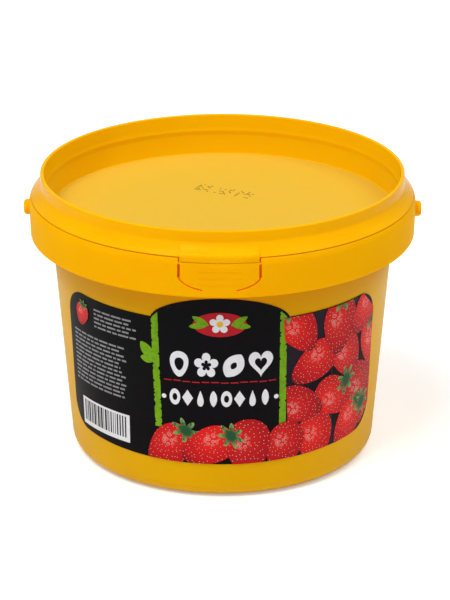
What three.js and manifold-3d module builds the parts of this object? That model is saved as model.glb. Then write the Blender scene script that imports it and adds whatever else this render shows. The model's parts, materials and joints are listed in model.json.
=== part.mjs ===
// A shut plastic tub of jam: a tapered tub with a collar and a tear tab, a press-on lid and a label.
// Millimetres, +Z up, the tub stands on the origin and its tear tab and label face -Y.
import * as THREE from "three";
import { mergeVertices } from "three/addons/utils/BufferGeometryUtils.js";
import Module from "manifold-3d";

// Fineness: the sides of every round body, and the steps of a rounded corner
const SIDES = 72;
const SIDE_DEG = 360 / SIDES;
const ROUND_STEPS = 3;
const CUT_PAST = 1;

// Rounds of the moulded edges
const SOFT_ROUND = 0.7;
const EDGE_ROUND = 0.4;
const FINE_ROUND = 0.2;

// Tub wall and base
const FOOT_ROUND = 5.2;
const WALL_FOOT_R = 51.04;
const WALL_COLLAR_R = 57;
const BASE_RECESS_R = 43.5;
const BASE_RECESS = 1.2;

// Collar: a skirt that hangs round the rim, open below
const COLLAR_R = 64.4;
const COLLAR_BOTTOM = 75.5;
const COLLAR_TOP = 88.5;
const COLLAR_TOP_R = 63.8;
const COLLAR_SLOPE = 1.5;
const COLLAR_WALL = 1.3;
const COLLAR_TAPER = 0.3;
const COLLAR_ROUND = 5;
const RIM_STEP = 79.6;
const RIM_R = 60.8;
const RIM_UNDER = 87;

// Well in the top of the tub that takes the lid, and the gap round the lid
const WELL_R = 59.5;
const WELL_FLOOR = 81.1;
const LID_GAP = 0.35;

// Lid: flange, shoulder, standing rim and the recess inside it
const SHOULDER_BEND = 90.3;
const SHOULDER_BEND_R = 62.35;
const SHOULDER_BEND_ROUND = 3;
const SHOULDER_TOP = 92.9;
const SHOULDER_TOP_R = 60.6;
const SHOULDER_ROUND = 1.6;
const RIM_OUTER_R = 60.5;
const RIM_INNER_R = 59.2;
const RIM_TOP = 96.6;
const BEAD_TOP = 92;
const BEAD_TOP_R = 58.8;
const BEAD_R = 58.5;
const BEAD_MIDDLE = 90.9;
const BEAD_UNDER = 89.4;
const BEAD_UNDER_R = 58.6;
const PANEL_R = 57.7;
const PANEL_TOP = 82.6;

// Tear tab: the lid's lip above it, the notch for that lip and the slits round the tab
const TAB_HALF_DEG = 11.5;
const LIP_TOP = 90.6;
const LIP_BOTTOM = 87.3;
const LIP_INNER_R = 62.2;
const LIP_CLEAR_DEG = 0.6;
const SLIT_TOP = 86.6;
const SLIT_TURN = 82;
const SLIT_END_DEG = 4.8;
const SLIT_END = 78.1;
const SLIT_BEND_DEG = 10.4;
const SLIT_BEND = 79.4;
const SLIT_WIDE = 0.8;
const SLIT_NARROW = 0.5;
const SLIT_STEPS = 6;
const SLIT_REACH_Y = 59.6;

// Side lugs
const LUG_OUT = 1.95;
const LUG_R = 2.6;
const LUG_MIDDLE = 83;
const LUG_ROOT = 1;
const LUG_CHAMFER = 0.9;
const LUG_SIDES = 20;

// Label
const LABEL_HALF_DEG = 62.8;
const LABEL_BOTTOM = 12.8;
const LABEL_BOTTOM_RISE = 2;
const LABEL_TOP = 64.4;
const LABEL_TOP_RISE = 0.7;
const LABEL_ROUND = 9;
const DOME_HALF_DEG = 23.3;
const DOME_RISE = 8.1;
const DOME_FLANK = 0.65;
const LABEL_GAP = 0.1;
const LABEL_THICK = 0.4;
const LABEL_ROUND_STEPS = 7;
const LABEL_ROWS = 3;
const LEAST_STEP_DEG = 0.05;

const wasm = await Module();
wasm.setup();

const rad = THREE.MathUtils.degToRad;

// Radius of the tub's outer wall at a height.
function wallRadius(z) {
  return WALL_FOOT_R + ((WALL_COLLAR_R - WALL_FOOT_R) * z) / COLLAR_BOTTOM;
}

// Outline through corners [r, z, round]: a corner with a round becomes an arc that meets both sides.
function outline(corners) {
  const points = [];
  corners.forEach(([r, z, round = 0], i) => {
    const corner = new THREE.Vector2(r, z);
    if (round === 0) {
      points.push(corner);
      return;
    }
    const back = new THREE.Vector2(...corners[i - 1]).sub(corner).normalize();
    const ahead = new THREE.Vector2(...corners[i + 1]).sub(corner).normalize();
    const half = Math.acos(back.dot(ahead)) / 2;
    const inward = back.clone().add(ahead).normalize();
    const centre = corner.clone().addScaledVector(inward, round / Math.sin(half));
    const start = corner.clone().addScaledVector(back, round / Math.tan(half));
    const turn = Math.sign(back.cross(ahead)) * (Math.PI - 2 * half);
    for (let k = 0; k <= ROUND_STEPS; k += 1) {
      points.push(start.clone().rotateAround(centre, (-turn * k) / ROUND_STEPS));
    }
  });
  return points;
}

// Round body about Z from an outline that starts and ends on the axis.
function turned(corners, sides = SIDES) {
  return new THREE.LatheGeometry(outline(corners), sides).rotateX(Math.PI / 2);
}

// Sector of a flat ring, centred on -Y.
function sector(innerR, outerR, halfDeg, low, high) {
  const middle = -Math.PI / 2;
  const shape = new THREE.Shape();
  shape.absarc(0, 0, outerR, middle - rad(halfDeg), middle + rad(halfDeg), false);
  shape.absarc(0, 0, innerR, middle + rad(halfDeg), middle - rad(halfDeg), true);
  const settings = { depth: high - low, bevelEnabled: false, curveSegments: 6 };
  return new THREE.ExtrudeGeometry(shape, settings).translate(0, 0, low);
}

// Closed geometry to a solid for joining and cutting.
function solidOf(geometry) {
  const bare = geometry.clone();
  bare.deleteAttribute("normal");
  bare.deleteAttribute("uv");
  const merged = mergeVertices(bare, 1e-4);
  return new wasm.Manifold(
    new wasm.Mesh({
      numProp: 3,
      vertProperties: new Float32Array(merged.attributes.position.array),
      triVerts: new Uint32Array(merged.index.array),
    }),
  );
}

// Solid back to a geometry.
function geometryOf(solid) {
  const { vertProperties, triVerts } = solid.getMesh();
  const geometry = new THREE.BufferGeometry();
  geometry.setAttribute("position", new THREE.BufferAttribute(vertProperties, 3));
  geometry.setIndex(new THREE.BufferAttribute(triVerts, 1));
  geometry.computeVertexNormals();
  return geometry;
}

// Cutter for one slit of the tear tab: straight down its side, then curving in below it.
function slitCutter(side) {
  const across = (deg) => side * COLLAR_R * Math.sin(rad(deg));
  const bend = new THREE.QuadraticBezierCurve(
    new THREE.Vector2(across(TAB_HALF_DEG), SLIT_TURN),
    new THREE.Vector2(across(SLIT_BEND_DEG), SLIT_BEND),
    new THREE.Vector2(across(SLIT_END_DEG), SLIT_END),
  );
  const left = [];
  const right = [];
  const addStation = (point, tangent, width) => {
    const normal = new THREE.Vector2(-tangent.y, tangent.x).multiplyScalar(width / 2);
    left.push(point.clone().add(normal));
    right.unshift(point.clone().sub(normal));
  };
  addStation(new THREE.Vector2(across(TAB_HALF_DEG), SLIT_TOP), new THREE.Vector2(0, -1), SLIT_WIDE);
  for (let k = 0; k <= SLIT_STEPS; k += 1) {
    const t = k / SLIT_STEPS;
    const width = SLIT_WIDE + (SLIT_NARROW - SLIT_WIDE) * Math.min(1, 2 * t);
    addStation(bend.getPoint(t), bend.getTangent(t), width);
  }
  const shape = new THREE.Shape([...left, ...right]);
  const settings = { depth: COLLAR_R, bevelEnabled: false };
  return new THREE.ExtrudeGeometry(shape, settings).rotateX(Math.PI / 2).translate(0, -SLIT_REACH_Y, 0);
}

// Side lug: a short round stud with a chamfered end, rooted in the collar.
function lug(side) {
  const stud = turned(
    [
      [0, -LUG_ROOT],
      [LUG_R, -LUG_ROOT],
      [LUG_R, LUG_OUT - LUG_CHAMFER],
      [LUG_R - LUG_CHAMFER, LUG_OUT],
      [0, LUG_OUT],
    ],
    LUG_SIDES,
  );
  return stud.rotateY((side * Math.PI) / 2).translate(side * COLLAR_R, 0, LUG_MIDDLE);
}

// Tub: wall, base, collar with its notch and slits, lugs and the well for the lid, filled with the jam.
function tubGeometry() {
  const body = turned([
    [0, BASE_RECESS],
    [BASE_RECESS_R - BASE_RECESS, BASE_RECESS],
    [BASE_RECESS_R, 0],
    [WALL_FOOT_R, 0, FOOT_ROUND],
    [wallRadius(RIM_STEP), RIM_STEP],
    [RIM_R, RIM_STEP, SOFT_ROUND],
    [RIM_R, RIM_UNDER],
    [COLLAR_R - COLLAR_WALL, RIM_UNDER],
    [COLLAR_R - COLLAR_WALL - COLLAR_TAPER, COLLAR_BOTTOM, EDGE_ROUND],
    [COLLAR_R - COLLAR_TAPER, COLLAR_BOTTOM, SOFT_ROUND],
    [COLLAR_R, COLLAR_TOP - COLLAR_SLOPE, COLLAR_ROUND],
    [COLLAR_TOP_R, COLLAR_TOP, FINE_ROUND],
    [WELL_R, COLLAR_TOP, EDGE_ROUND],
    [WELL_R, WELL_FLOOR],
    [0, WELL_FLOOR],
  ]);
  const notchDeg = TAB_HALF_DEG + LIP_CLEAR_DEG / 2;
  const notchInnerR = LIP_INNER_R - LID_GAP;
  const notchBottom = LIP_BOTTOM - LID_GAP;
  const notch = sector(notchInnerR, COLLAR_R + CUT_PAST, notchDeg, notchBottom, COLLAR_TOP + CUT_PAST);
  let solid = solidOf(body).subtract(solidOf(notch));
  for (const side of [-1, 1]) {
    solid = solid.subtract(solidOf(slitCutter(side))).add(solidOf(lug(side)));
  }
  return geometryOf(solid);
}

// Lid: plug in the well, flange, shoulder, standing rim, beaded recess wall, panel and lip over the tab.
function lidGeometry() {
  const under = COLLAR_TOP + LID_GAP;
  const plugR = WELL_R - LID_GAP;
  const plugBottom = WELL_FLOOR + LID_GAP;
  const cap = turned([
    [0, plugBottom],
    [plugR, plugBottom, SOFT_ROUND],
    [plugR, under],
    [COLLAR_TOP_R, under, FINE_ROUND],
    [SHOULDER_BEND_R, SHOULDER_BEND, SHOULDER_BEND_ROUND],
    [SHOULDER_TOP_R, SHOULDER_TOP, SHOULDER_ROUND],
    [RIM_OUTER_R, RIM_TOP, SOFT_ROUND],
    [RIM_INNER_R, RIM_TOP, SOFT_ROUND],
    [BEAD_TOP_R, BEAD_TOP, SOFT_ROUND],
    [BEAD_R, BEAD_MIDDLE, SOFT_ROUND],
    [BEAD_UNDER_R, BEAD_UNDER, EDGE_ROUND],
    [PANEL_R, PANEL_TOP, SOFT_ROUND],
    [0, PANEL_TOP],
  ]);
  const lipDeg = TAB_HALF_DEG - LIP_CLEAR_DEG / 2;
  const lip = sector(LIP_INNER_R, COLLAR_R, lipDeg, LIP_BOTTOM, LIP_TOP);
  return geometryOf(solidOf(cap).add(solidOf(lip)));
}

// Fall of a rounded end below its full height, at a distance from the edge of the label.
function cornerFall(fromEdge) {
  if (fromEdge >= LABEL_ROUND) return 0;
  return LABEL_ROUND - Math.sqrt(LABEL_ROUND ** 2 - (LABEL_ROUND - fromEdge) ** 2);
}

// Lowest and highest points of the label at an angle from the front, measured at its top edge.
function labelSpan(deg) {
  const away = Math.abs(deg);
  const fall = cornerFall(rad(LABEL_HALF_DEG - away) * wallRadius(LABEL_TOP));
  const outward = (away / LABEL_HALF_DEG) ** 2;
  const low = LABEL_BOTTOM + LABEL_BOTTOM_RISE * outward;
  const high = LABEL_TOP + LABEL_TOP_RISE * outward;
  const dome = away < DOME_HALF_DEG ? DOME_RISE * (1 - (away / DOME_HALF_DEG) ** 2) ** DOME_FLANK : 0;
  return [low + fall, high + dome - fall];
}

// Angles of the label's columns: half the sides of the tub, and closer ones where the outline is round.
function labelAngles() {
  const cornerDeg = THREE.MathUtils.radToDeg(LABEL_ROUND / wallRadius(LABEL_TOP));
  const angles = new Set();
  for (let deg = 0; deg < LABEL_HALF_DEG; deg += SIDE_DEG / 2) angles.add(deg);
  for (let k = 0; k <= LABEL_ROUND_STEPS; k += 1) {
    const share = 1 - Math.cos((Math.PI / 2) * (k / LABEL_ROUND_STEPS));
    angles.add(LABEL_HALF_DEG - cornerDeg * share);
    angles.add(DOME_HALF_DEG * (1 - share));
  }
  const sorted = [...angles].sort((a, b) => a - b);
  const right = sorted.filter((deg, i) => i === 0 || deg - sorted[i - 1] > LEAST_STEP_DEG);
  return [...right.slice(1).reverse().map((deg) => -deg), ...right];
}

// Point at an angle and height, a distance off the flat side of the tub there.
function offWall(deg, z, distance) {
  const fromMiddle = deg - SIDE_DEG * (Math.floor(deg / SIDE_DEG) + 0.5);
  const flat = Math.cos(rad(SIDE_DEG / 2)) / Math.cos(rad(fromMiddle));
  const r = wallRadius(z) * flat + distance;
  return [r * Math.sin(rad(deg)), -r * Math.cos(rad(deg)), z];
}

// Label: a thin closed skin round the front of the tub, as long at the bottom as at the top, with a dome on it.
function labelGeometry() {
  const positions = [];
  const indices = [];
  const quad = (a, b, c, d) => indices.push(a, b, c, a, c, d);
  const angles = labelAngles();
  const around = 2 * (LABEL_ROWS + 1);
  angles.forEach((deg) => {
    const [low, high] = labelSpan(deg);
    for (let k = 0; k < around; k += 1) {
      const outside = k <= LABEL_ROWS;
      const row = outside ? k : around - 1 - k;
      const z = low + ((high - low) * row) / LABEL_ROWS;
      const placed = (deg * wallRadius(LABEL_TOP)) / wallRadius(z);
      positions.push(...offWall(placed, z, outside ? LABEL_GAP + LABEL_THICK : LABEL_GAP));
    }
  });
  for (let i = 0; i < angles.length - 1; i += 1) {
    for (let k = 0; k < around; k += 1) {
      const next = (k + 1) % around;
      quad(around * i + k, around * (i + 1) + k, around * (i + 1) + next, around * i + next);
    }
  }
  const last = around * (angles.length - 1);
  for (let row = 0; row < LABEL_ROWS; row += 1) {
    const back = around - 1 - row;
    quad(back, row, row + 1, back - 1);
    quad(last + back - 1, last + row + 1, last + row, last + back);
  }
  const geometry = new THREE.BufferGeometry();
  geometry.setAttribute("position", new THREE.Float32BufferAttribute(positions, 3));
  geometry.setIndex(indices);
  geometry.computeVertexNormals();
  return geometry;
}

const yellowPlastic = new THREE.MeshStandardMaterial({ color: 0xf6ad05, roughness: 0.38, metalness: 0 });
const lidPlastic = new THREE.MeshStandardMaterial({ color: 0xf8b208, roughness: 0.35, metalness: 0 });
const labelFilm = new THREE.MeshStandardMaterial({ color: 0x171216, roughness: 0.3, metalness: 0 });

const jamTub = new THREE.Group();
const parts = [
  ["tub", tubGeometry(), yellowPlastic],
  ["lid", lidGeometry(), lidPlastic],
  ["label", labelGeometry(), labelFilm],
];
for (const [name, geometry, material] of parts) {
  const mesh = new THREE.Mesh(geometry, material);
  mesh.name = name;
  jamTub.add(mesh);
}

export default jamTub;
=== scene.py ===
"""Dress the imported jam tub: moulded tub and lid, printed label, lid stamp, studio and camera.

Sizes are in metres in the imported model's frame: +Z is up, the base stands on z = 0, the tear tab and
the label face -Y, and the two side lugs point along X.
"""

import json
import logging
import math
import random
from collections.abc import Callable, Sequence
from dataclasses import dataclass, field
from enum import Enum, auto

import bmesh
import bpy
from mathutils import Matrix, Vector

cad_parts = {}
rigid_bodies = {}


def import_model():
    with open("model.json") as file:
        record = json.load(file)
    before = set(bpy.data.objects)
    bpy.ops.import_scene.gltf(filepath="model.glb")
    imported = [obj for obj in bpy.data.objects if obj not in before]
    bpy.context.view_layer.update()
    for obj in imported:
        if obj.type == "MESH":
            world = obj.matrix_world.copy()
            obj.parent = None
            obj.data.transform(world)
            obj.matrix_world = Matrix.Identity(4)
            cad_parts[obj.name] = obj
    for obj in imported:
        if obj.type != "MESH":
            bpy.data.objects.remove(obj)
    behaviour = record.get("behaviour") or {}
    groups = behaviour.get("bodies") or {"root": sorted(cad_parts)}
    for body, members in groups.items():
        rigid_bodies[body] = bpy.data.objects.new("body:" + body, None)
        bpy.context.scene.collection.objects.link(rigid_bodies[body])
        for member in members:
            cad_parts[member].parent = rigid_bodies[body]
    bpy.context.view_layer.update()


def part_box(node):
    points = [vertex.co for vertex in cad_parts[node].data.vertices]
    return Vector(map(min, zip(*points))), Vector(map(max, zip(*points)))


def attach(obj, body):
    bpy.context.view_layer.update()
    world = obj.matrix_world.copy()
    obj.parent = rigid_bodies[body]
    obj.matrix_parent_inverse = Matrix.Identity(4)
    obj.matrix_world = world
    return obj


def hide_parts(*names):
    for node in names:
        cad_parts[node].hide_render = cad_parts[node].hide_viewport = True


LOG = logging.getLogger("jam_tub")
MM = 0.001
BODY = "root"

Colour = tuple[float, float, float]
Corner = tuple[float, float, float]
Spot = tuple[float, float]
Feeds = dict[str | int, object]
Piece = bpy.types.Object
Material = bpy.types.Material
Socket = bpy.types.NodeSocket


def mm(across: float, up: float) -> Spot:
    """Give a spot or a size in metres from millimetres."""
    return across * MM, up * MM


class Bench:
    """Modelling moves that the pieces share, each made of a few operators."""

    MERGE = 0.001 * MM
    FLAT = (math.pi / 2, 0, 0)

    @staticmethod
    def clear() -> None:
        """Go to object mode with nothing selected."""
        active = bpy.context.view_layer.objects.active
        if active is not None and active.mode != "OBJECT":
            bpy.ops.object.mode_set(mode="OBJECT")
        bpy.ops.object.select_all(action="DESELECT")

    @staticmethod
    def pick(piece: Piece) -> None:
        """Make a piece the only selected object and the active one."""
        Bench.clear()
        bpy.context.view_layer.objects.active = piece
        piece.select_set(True)

    @staticmethod
    def start(name: str) -> Piece:
        """Start a piece at the origin with an empty mesh, open in edit mode.

        Args:
            name: Name of the object and of its mesh.

        Returns:
            The new object.
        """
        Bench.clear()
        bpy.ops.mesh.primitive_plane_add(size=MM)
        piece = bpy.context.object
        piece.name = name
        piece.data.name = name
        bpy.ops.object.mode_set(mode="EDIT")
        bpy.ops.mesh.select_all(action="SELECT")
        bpy.ops.mesh.delete(type="VERT")
        return piece

    @staticmethod
    def draw(points: Sequence[Vector]) -> None:
        """Draw a chain of edges in the open piece, one extruded vertex after another.

        Args:
            points: The chain's points in order.
        """
        bpy.ops.mesh.select_all(action="DESELECT")
        bpy.ops.mesh.primitive_plane_add(size=MM)
        bpy.ops.mesh.merge(type="CENTER")
        bpy.ops.transform.translate(value=points[0])
        for before, after in zip(points, points[1:]):
            bpy.ops.mesh.extrude_vertices_move(TRANSFORM_OT_translate={"value": after - before})

    @staticmethod
    def close() -> None:
        """Merge doubles, turn all faces outwards and leave edit mode."""
        bpy.ops.mesh.select_all(action="SELECT")
        bpy.ops.mesh.remove_doubles(threshold=Bench.MERGE)
        bpy.ops.mesh.normals_make_consistent(inside=False)
        bpy.ops.object.mode_set(mode="OBJECT")

    @staticmethod
    def spun(name: str, outline: Sequence[Vector], steps: int, half_deg: float | None = None) -> Piece:
        """Spin an outline about Z, into a round body or into a block of a ring, centred on the front.

        Args:
            name: Name of the piece.
            outline: Points in the XZ plane, from the axis and back to it, or round a block's section.
            steps: Steps of the spin.
            half_deg: Half of a block's angle, or None for a round body.

        Returns:
            The new object.
        """
        whole = half_deg is None
        turn = 0 if whole else math.radians(half_deg - 90)
        sweep = 2 * math.pi if whole else math.radians(2 * half_deg)
        piece = Bench.start(name)
        Bench.draw([Vector((p.x * math.cos(turn), p.x * math.sin(turn), p.z)) for p in outline])
        bpy.ops.mesh.select_all(action="SELECT")
        if not whole:
            bpy.ops.mesh.edge_face_add()
        bpy.ops.mesh.spin(steps=steps, angle=sweep, center=(0, 0, 0), axis=(0, 0, 1))
        Bench.close()
        return piece

    @staticmethod
    def apply(piece: Piece, kind: str, **settings: object) -> None:
        """Add a modifier to a piece and apply it.

        Args:
            piece: The piece to change.
            kind: The modifier's type.
            settings: Values of the modifier's properties.
        """
        Bench.pick(piece)
        bpy.ops.object.modifier_add(type=kind)
        modifier = piece.modifiers[-1]
        for name, value in settings.items():
            setattr(modifier, name, value)
        bpy.ops.object.modifier_apply(modifier=modifier.name)

    @staticmethod
    def combine(piece: Piece, tool: Piece, operation: str) -> None:
        """Join a tool to a piece or cut it out of the piece, and remove the tool.

        Args:
            piece: The piece to change.
            tool: The closed shape to join or cut out.
            operation: UNION or DIFFERENCE.
        """
        Bench.clear()
        Bench.apply(piece, "BOOLEAN", operation=operation, solver="MANIFOLD", object=tool)
        mesh = tool.data
        bpy.data.objects.remove(tool)
        bpy.data.meshes.remove(mesh)

    @staticmethod
    def smooth(piece: Piece, angle_deg: float = 30) -> None:
        """Shade a piece smooth, with edges that turn more than an angle kept sharp."""
        Bench.pick(piece)
        bpy.ops.object.shade_smooth_by_angle(angle=math.radians(angle_deg))

    @staticmethod
    def finish(piece: Piece, slot: str, materials: Sequence[Material]) -> None:
        """Give a piece its materials and its place on the body.

        Args:
            piece: The finished piece.
            slot: The record's material slot; not used.
            materials: Materials in slot order.
        """
        piece.data.materials.clear()
        for material in materials:
            piece.data.materials.append(material)
        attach(piece, BODY)
        LOG.info("%s: %d faces", piece.name, len(piece.data.polygons))


def rounded(corners: Sequence[Corner], step_deg: float = 12) -> list[Vector]:
    """Turn corners into the points of an outline, with an arc at each rounded corner.

    Args:
        corners: Radius, height and round of each corner.
        step_deg: Largest turn between two points of an arc.

    Returns:
        Points in the XZ plane.
    """
    places = [Vector((radius, 0, height)) for radius, height, _ in corners]
    points = []
    for i, (_, _, bend) in enumerate(corners):
        corner = places[i]
        if bend == 0:
            points.append(corner)
            continue
        back = (places[i - 1] - corner).normalized()
        ahead = (places[i + 1] - corner).normalized()
        half = back.angle(ahead) / 2
        centre = corner + (back + ahead).normalized() * (bend / math.sin(half))
        first = corner + back * (bend / math.tan(half)) - centre
        last = corner + ahead * (bend / math.tan(half)) - centre
        sweep = math.pi - 2 * half
        steps = max(2, math.ceil(math.degrees(sweep) / step_deg))
        for k in range(steps + 1):
            part = sweep * k / steps
            arm = first * math.sin(sweep - part) + last * math.sin(part)
            points.append(centre + arm / math.sin(sweep))
    return points


class Nodes:
    """A node tree with short ways to add and join nodes."""

    def __init__(self, tree: bpy.types.NodeTree) -> None:
        """Start from an empty tree."""
        self.tree = tree
        tree.nodes.clear()

    def feed(self, target: Socket, value: object) -> None:
        """Link an input to an output, or set its value.

        Args:
            target: The input.
            value: An output, a number, or a colour without its alpha.
        """
        if isinstance(value, Socket):
            self.tree.links.new(value, target)
        elif target.type == "RGBA":
            target.default_value = (*value, 1)
        else:
            target.default_value = value

    def add(self, kind: str, inputs: Feeds | None = None, **settings: object) -> bpy.types.Node:
        """Add a node.

        Args:
            kind: The node's type without its ShaderNode prefix.
            inputs: What feeds its inputs, by name or number.
            settings: Values of its properties.

        Returns:
            The new node.
        """
        node = self.tree.nodes.new("ShaderNode" + kind)
        for name, value in settings.items():
            setattr(node, name, value)
        for name, value in (inputs or {}).items():
            self.feed(node.inputs[name], value)
        return node

    def math(self, operation: str, *values: object) -> Socket:
        """Give the result of a math node on numbers or sockets."""
        return self.add("Math", dict(enumerate(values)), operation=operation).outputs["Value"]

    def reach(self, across: Socket, along: Socket) -> Socket:
        """Give the length of a vector from its two parts."""
        squares = [self.math("POWER", part, 2) for part in (across, along)]
        return self.math("SQRT", self.math("ADD", *squares))

    def span(self, value: Socket, start: float, end: float) -> Socket:
        """Give a smooth 0 to 1 as a value goes from start to end."""
        feeds = {"Value": value, "From Min": start, "From Max": end}
        return self.add("MapRange", feeds, interpolation_type="SMOOTHSTEP").outputs["Result"]

    def mix(self, share: Socket, low: object, high: object) -> Socket:
        """Mix two colours, or sockets that give them, by the share of the second."""
        return self.add("Mix", {0: share, 6: low, 7: high}, data_type="RGBA").outputs[2]


@dataclass(frozen=True)
class SurfaceGroup:
    """Node group of an uneven surface: mottled tone, uneven gloss and, where one is given, a fine skin."""

    name: str
    tone: Feeds
    tone_full: float
    sheen: Feeds
    skin: Feeds | None = None
    tone_start: float = 0.35

    def tree(self) -> bpy.types.NodeTree:
        """Give the group, which is built at its first use.

        Returns:
            The group, with Color and Roughness outputs, and Height for a skin.
        """
        if self.name in bpy.data.node_groups:
            return bpy.data.node_groups[self.name]
        tree = bpy.data.node_groups.new(self.name, "ShaderNodeTree")
        inputs = {"Place": "Vector", "Colour": "Color", "Deep": "Color", "Gloss": "Float", "Uneven": "Float"}
        outputs = {"Color": "Color", "Roughness": "Float"}
        if self.skin:
            outputs["Height"] = "Float"
        for side, sockets in (("INPUT", inputs), ("OUTPUT", outputs)):
            for title, kind in sockets.items():
                tree.interface.new_socket(name=title, in_out=side, socket_type="NodeSocket" + kind)
        board = Nodes(tree)
        given = tree.nodes.new("NodeGroupInput").outputs
        result = tree.nodes.new("NodeGroupOutput").inputs
        tone, sheen, skin = (
            board.add("TexNoise", {"Vector": given["Place"], **noise}).outputs["Fac"] if noise else None
            for noise in (self.tone, self.sheen, self.skin)
        )
        share = board.span(tone, self.tone_start, self.tone_full)
        board.feed(result["Color"], board.mix(share, given["Colour"], given["Deep"]))
        swing = board.math("MULTIPLY", board.math("SUBTRACT", sheen, 0.5), given["Uneven"])
        board.feed(result["Roughness"], board.math("ADD", swing, given["Gloss"]))
        if skin:
            board.feed(result["Height"], skin)
        return tree


MOULDED = SurfaceGroup(
    "moulded_surface",
    tone={"Scale": 45, "Detail": 3, "Roughness": 0.5},
    tone_full=0.7,
    sheen={"Scale": 160, "Detail": 4, "Roughness": 0.65, "Distortion": 0.6},
    skin={"Scale": 900, "Detail": 3, "Roughness": 0.6},
)
PRINTED = SurfaceGroup(
    "printed_surface",
    tone={"Scale": 700, "Detail": 4, "Roughness": 0.7},
    tone_full=0.75,
    sheen={"Scale": 60, "Detail": 2, "Roughness": 0.5},
)


@dataclass(frozen=True)
class Finish:
    """A material of one Principled shader."""

    name: str

    def paint(self, board: Nodes) -> Feeds:
        """Add the nodes of the finish and give what feeds the shader's inputs, by name."""
        raise NotImplementedError

    def material(self) -> Material:
        """Make the material.

        Returns:
            A new material with the finish's nodes.
        """
        material = bpy.data.materials.new(self.name)
        material.use_nodes = True
        board = Nodes(material.node_tree)
        shader = board.add("BsdfPrincipled", self.paint(board))
        board.add("OutputMaterial", {"Surface": shader.outputs["BSDF"]})
        return material


@dataclass(frozen=True)
class Patch:
    """Zone of a moulded piece with another colour and dullness, which comes in between two heights: painted
    shade on the tub's wall and a painted sheen on the lid's panel.
    """

    colour: Colour
    rougher: float
    start: float
    full: float
    radius: float | None = None
    blur: float = 0.4 * MM

    def mask(self, board: Nodes, place: Socket) -> Socket:
        """Add the nodes that find the patch.

        Args:
            board: Tree of the material.
            place: Object coordinates.

        Returns:
            Socket that is 1 on the patch and 0 elsewhere.
        """
        parts = board.add("SeparateXYZ", {"Vector": place}).outputs
        mask = board.span(parts["Z"], self.start, self.full)
        if self.radius is None:
            return mask
        inside = board.span(board.reach(parts["X"], parts["Y"]), self.radius, self.radius - self.blur)
        return board.math("MULTIPLY", inside, mask)


@dataclass(frozen=True)
class PlasticFinish(Finish):
    """Satin moulded plastic on Object coordinates."""

    colour: Colour
    deep: Colour
    roughness: float
    uneven: float = 0.16
    skin_depth: float = 0.01 * MM
    skin_strength: float = 0.5
    gleam: float = 0.1
    tint: Colour = (1, 0.8, 0.1)
    glow: float = 0.25
    glow_depth: float = 1.2 * MM
    glow_spread: Colour = (1, 0.3, 0.05)
    # Emission colour and strength: a painted glow, on a piece that is no lamp
    light: Colour = (1, 1, 1)
    painted_glow_strength: float = 0
    patch: Patch | None = None

    def paint(self, board: Nodes) -> Feeds:
        """Add the moulded surface, with the patch on it.

        Args:
            board: Tree of the material.

        Returns:
            What feeds the shader's inputs, by name.
        """
        place = board.add("TexCoord").outputs["Object"]
        look = {"Colour": self.colour, "Deep": self.deep, "Gloss": self.roughness, "Uneven": self.uneven}
        surface = board.add("Group", {"Place": place, **look}, node_tree=MOULDED.tree()).outputs
        colour = surface["Color"]
        roughness = surface["Roughness"] if self.uneven else self.roughness
        if self.patch:
            mask = self.patch.mask(board, place)
            colour = board.mix(mask, colour, self.patch.colour)
            roughness = board.math("ADD", roughness, board.math("MULTIPLY", mask, self.patch.rougher))
        feeds = {
            "Base Color": colour,
            "Roughness": roughness,
            "Specular IOR Level": self.gleam,
            "Specular Tint": self.tint,
            "Subsurface Weight": self.glow,
            "Subsurface Radius": self.glow_spread,
            "Subsurface Scale": self.glow_depth,
            "Emission Color": self.light,
            "Emission Strength": self.painted_glow_strength,
        }
        if self.skin_depth:
            skin = {"Height": surface["Height"], "Strength": self.skin_strength, "Distance": self.skin_depth}
            feeds["Normal"] = board.add("Bump", skin).outputs["Normal"]
        return feeds


# Painted glow in the slits of the tear tab and on the plastic behind the tab: a red-orange colour with a
# faint emission, for light that comes through the thin plastic
SLIT_PAINTED_GLOW = PlasticFinish(
    "slit_painted_glow",
    colour=(0.85, 0.20, 0.001),
    deep=(0.75, 0.14, 0.001),
    roughness=0.5,
    uneven=0,
    skin_depth=0,
    tint=(1, 1, 1),
    glow=0,
    light=(1, 0.26, 0),
    painted_glow_strength=0.2,
)


@dataclass(frozen=True)
class InkFinish(Finish):
    """One printed colour on satin film or plastic."""

    ink: Colour
    thin: Colour
    roughness: float = 0.38
    uneven: float = 0.12
    gleam: float = 0.1

    def paint(self, board: Nodes) -> Feeds:
        """Add the printed surface.

        Args:
            board: Tree of the material.

        Returns:
            What feeds the shader's inputs, by name.
        """
        look = {"Colour": self.ink, "Deep": self.thin, "Gloss": self.roughness, "Uneven": self.uneven}
        look["Place"] = board.add("TexCoord").outputs["Object"]
        surface = board.add("Group", look, node_tree=PRINTED.tree()).outputs
        return {
            "Base Color": surface["Color"],
            "Roughness": surface["Roughness"],
            "Specular IOR Level": self.gleam,
        }


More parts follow.
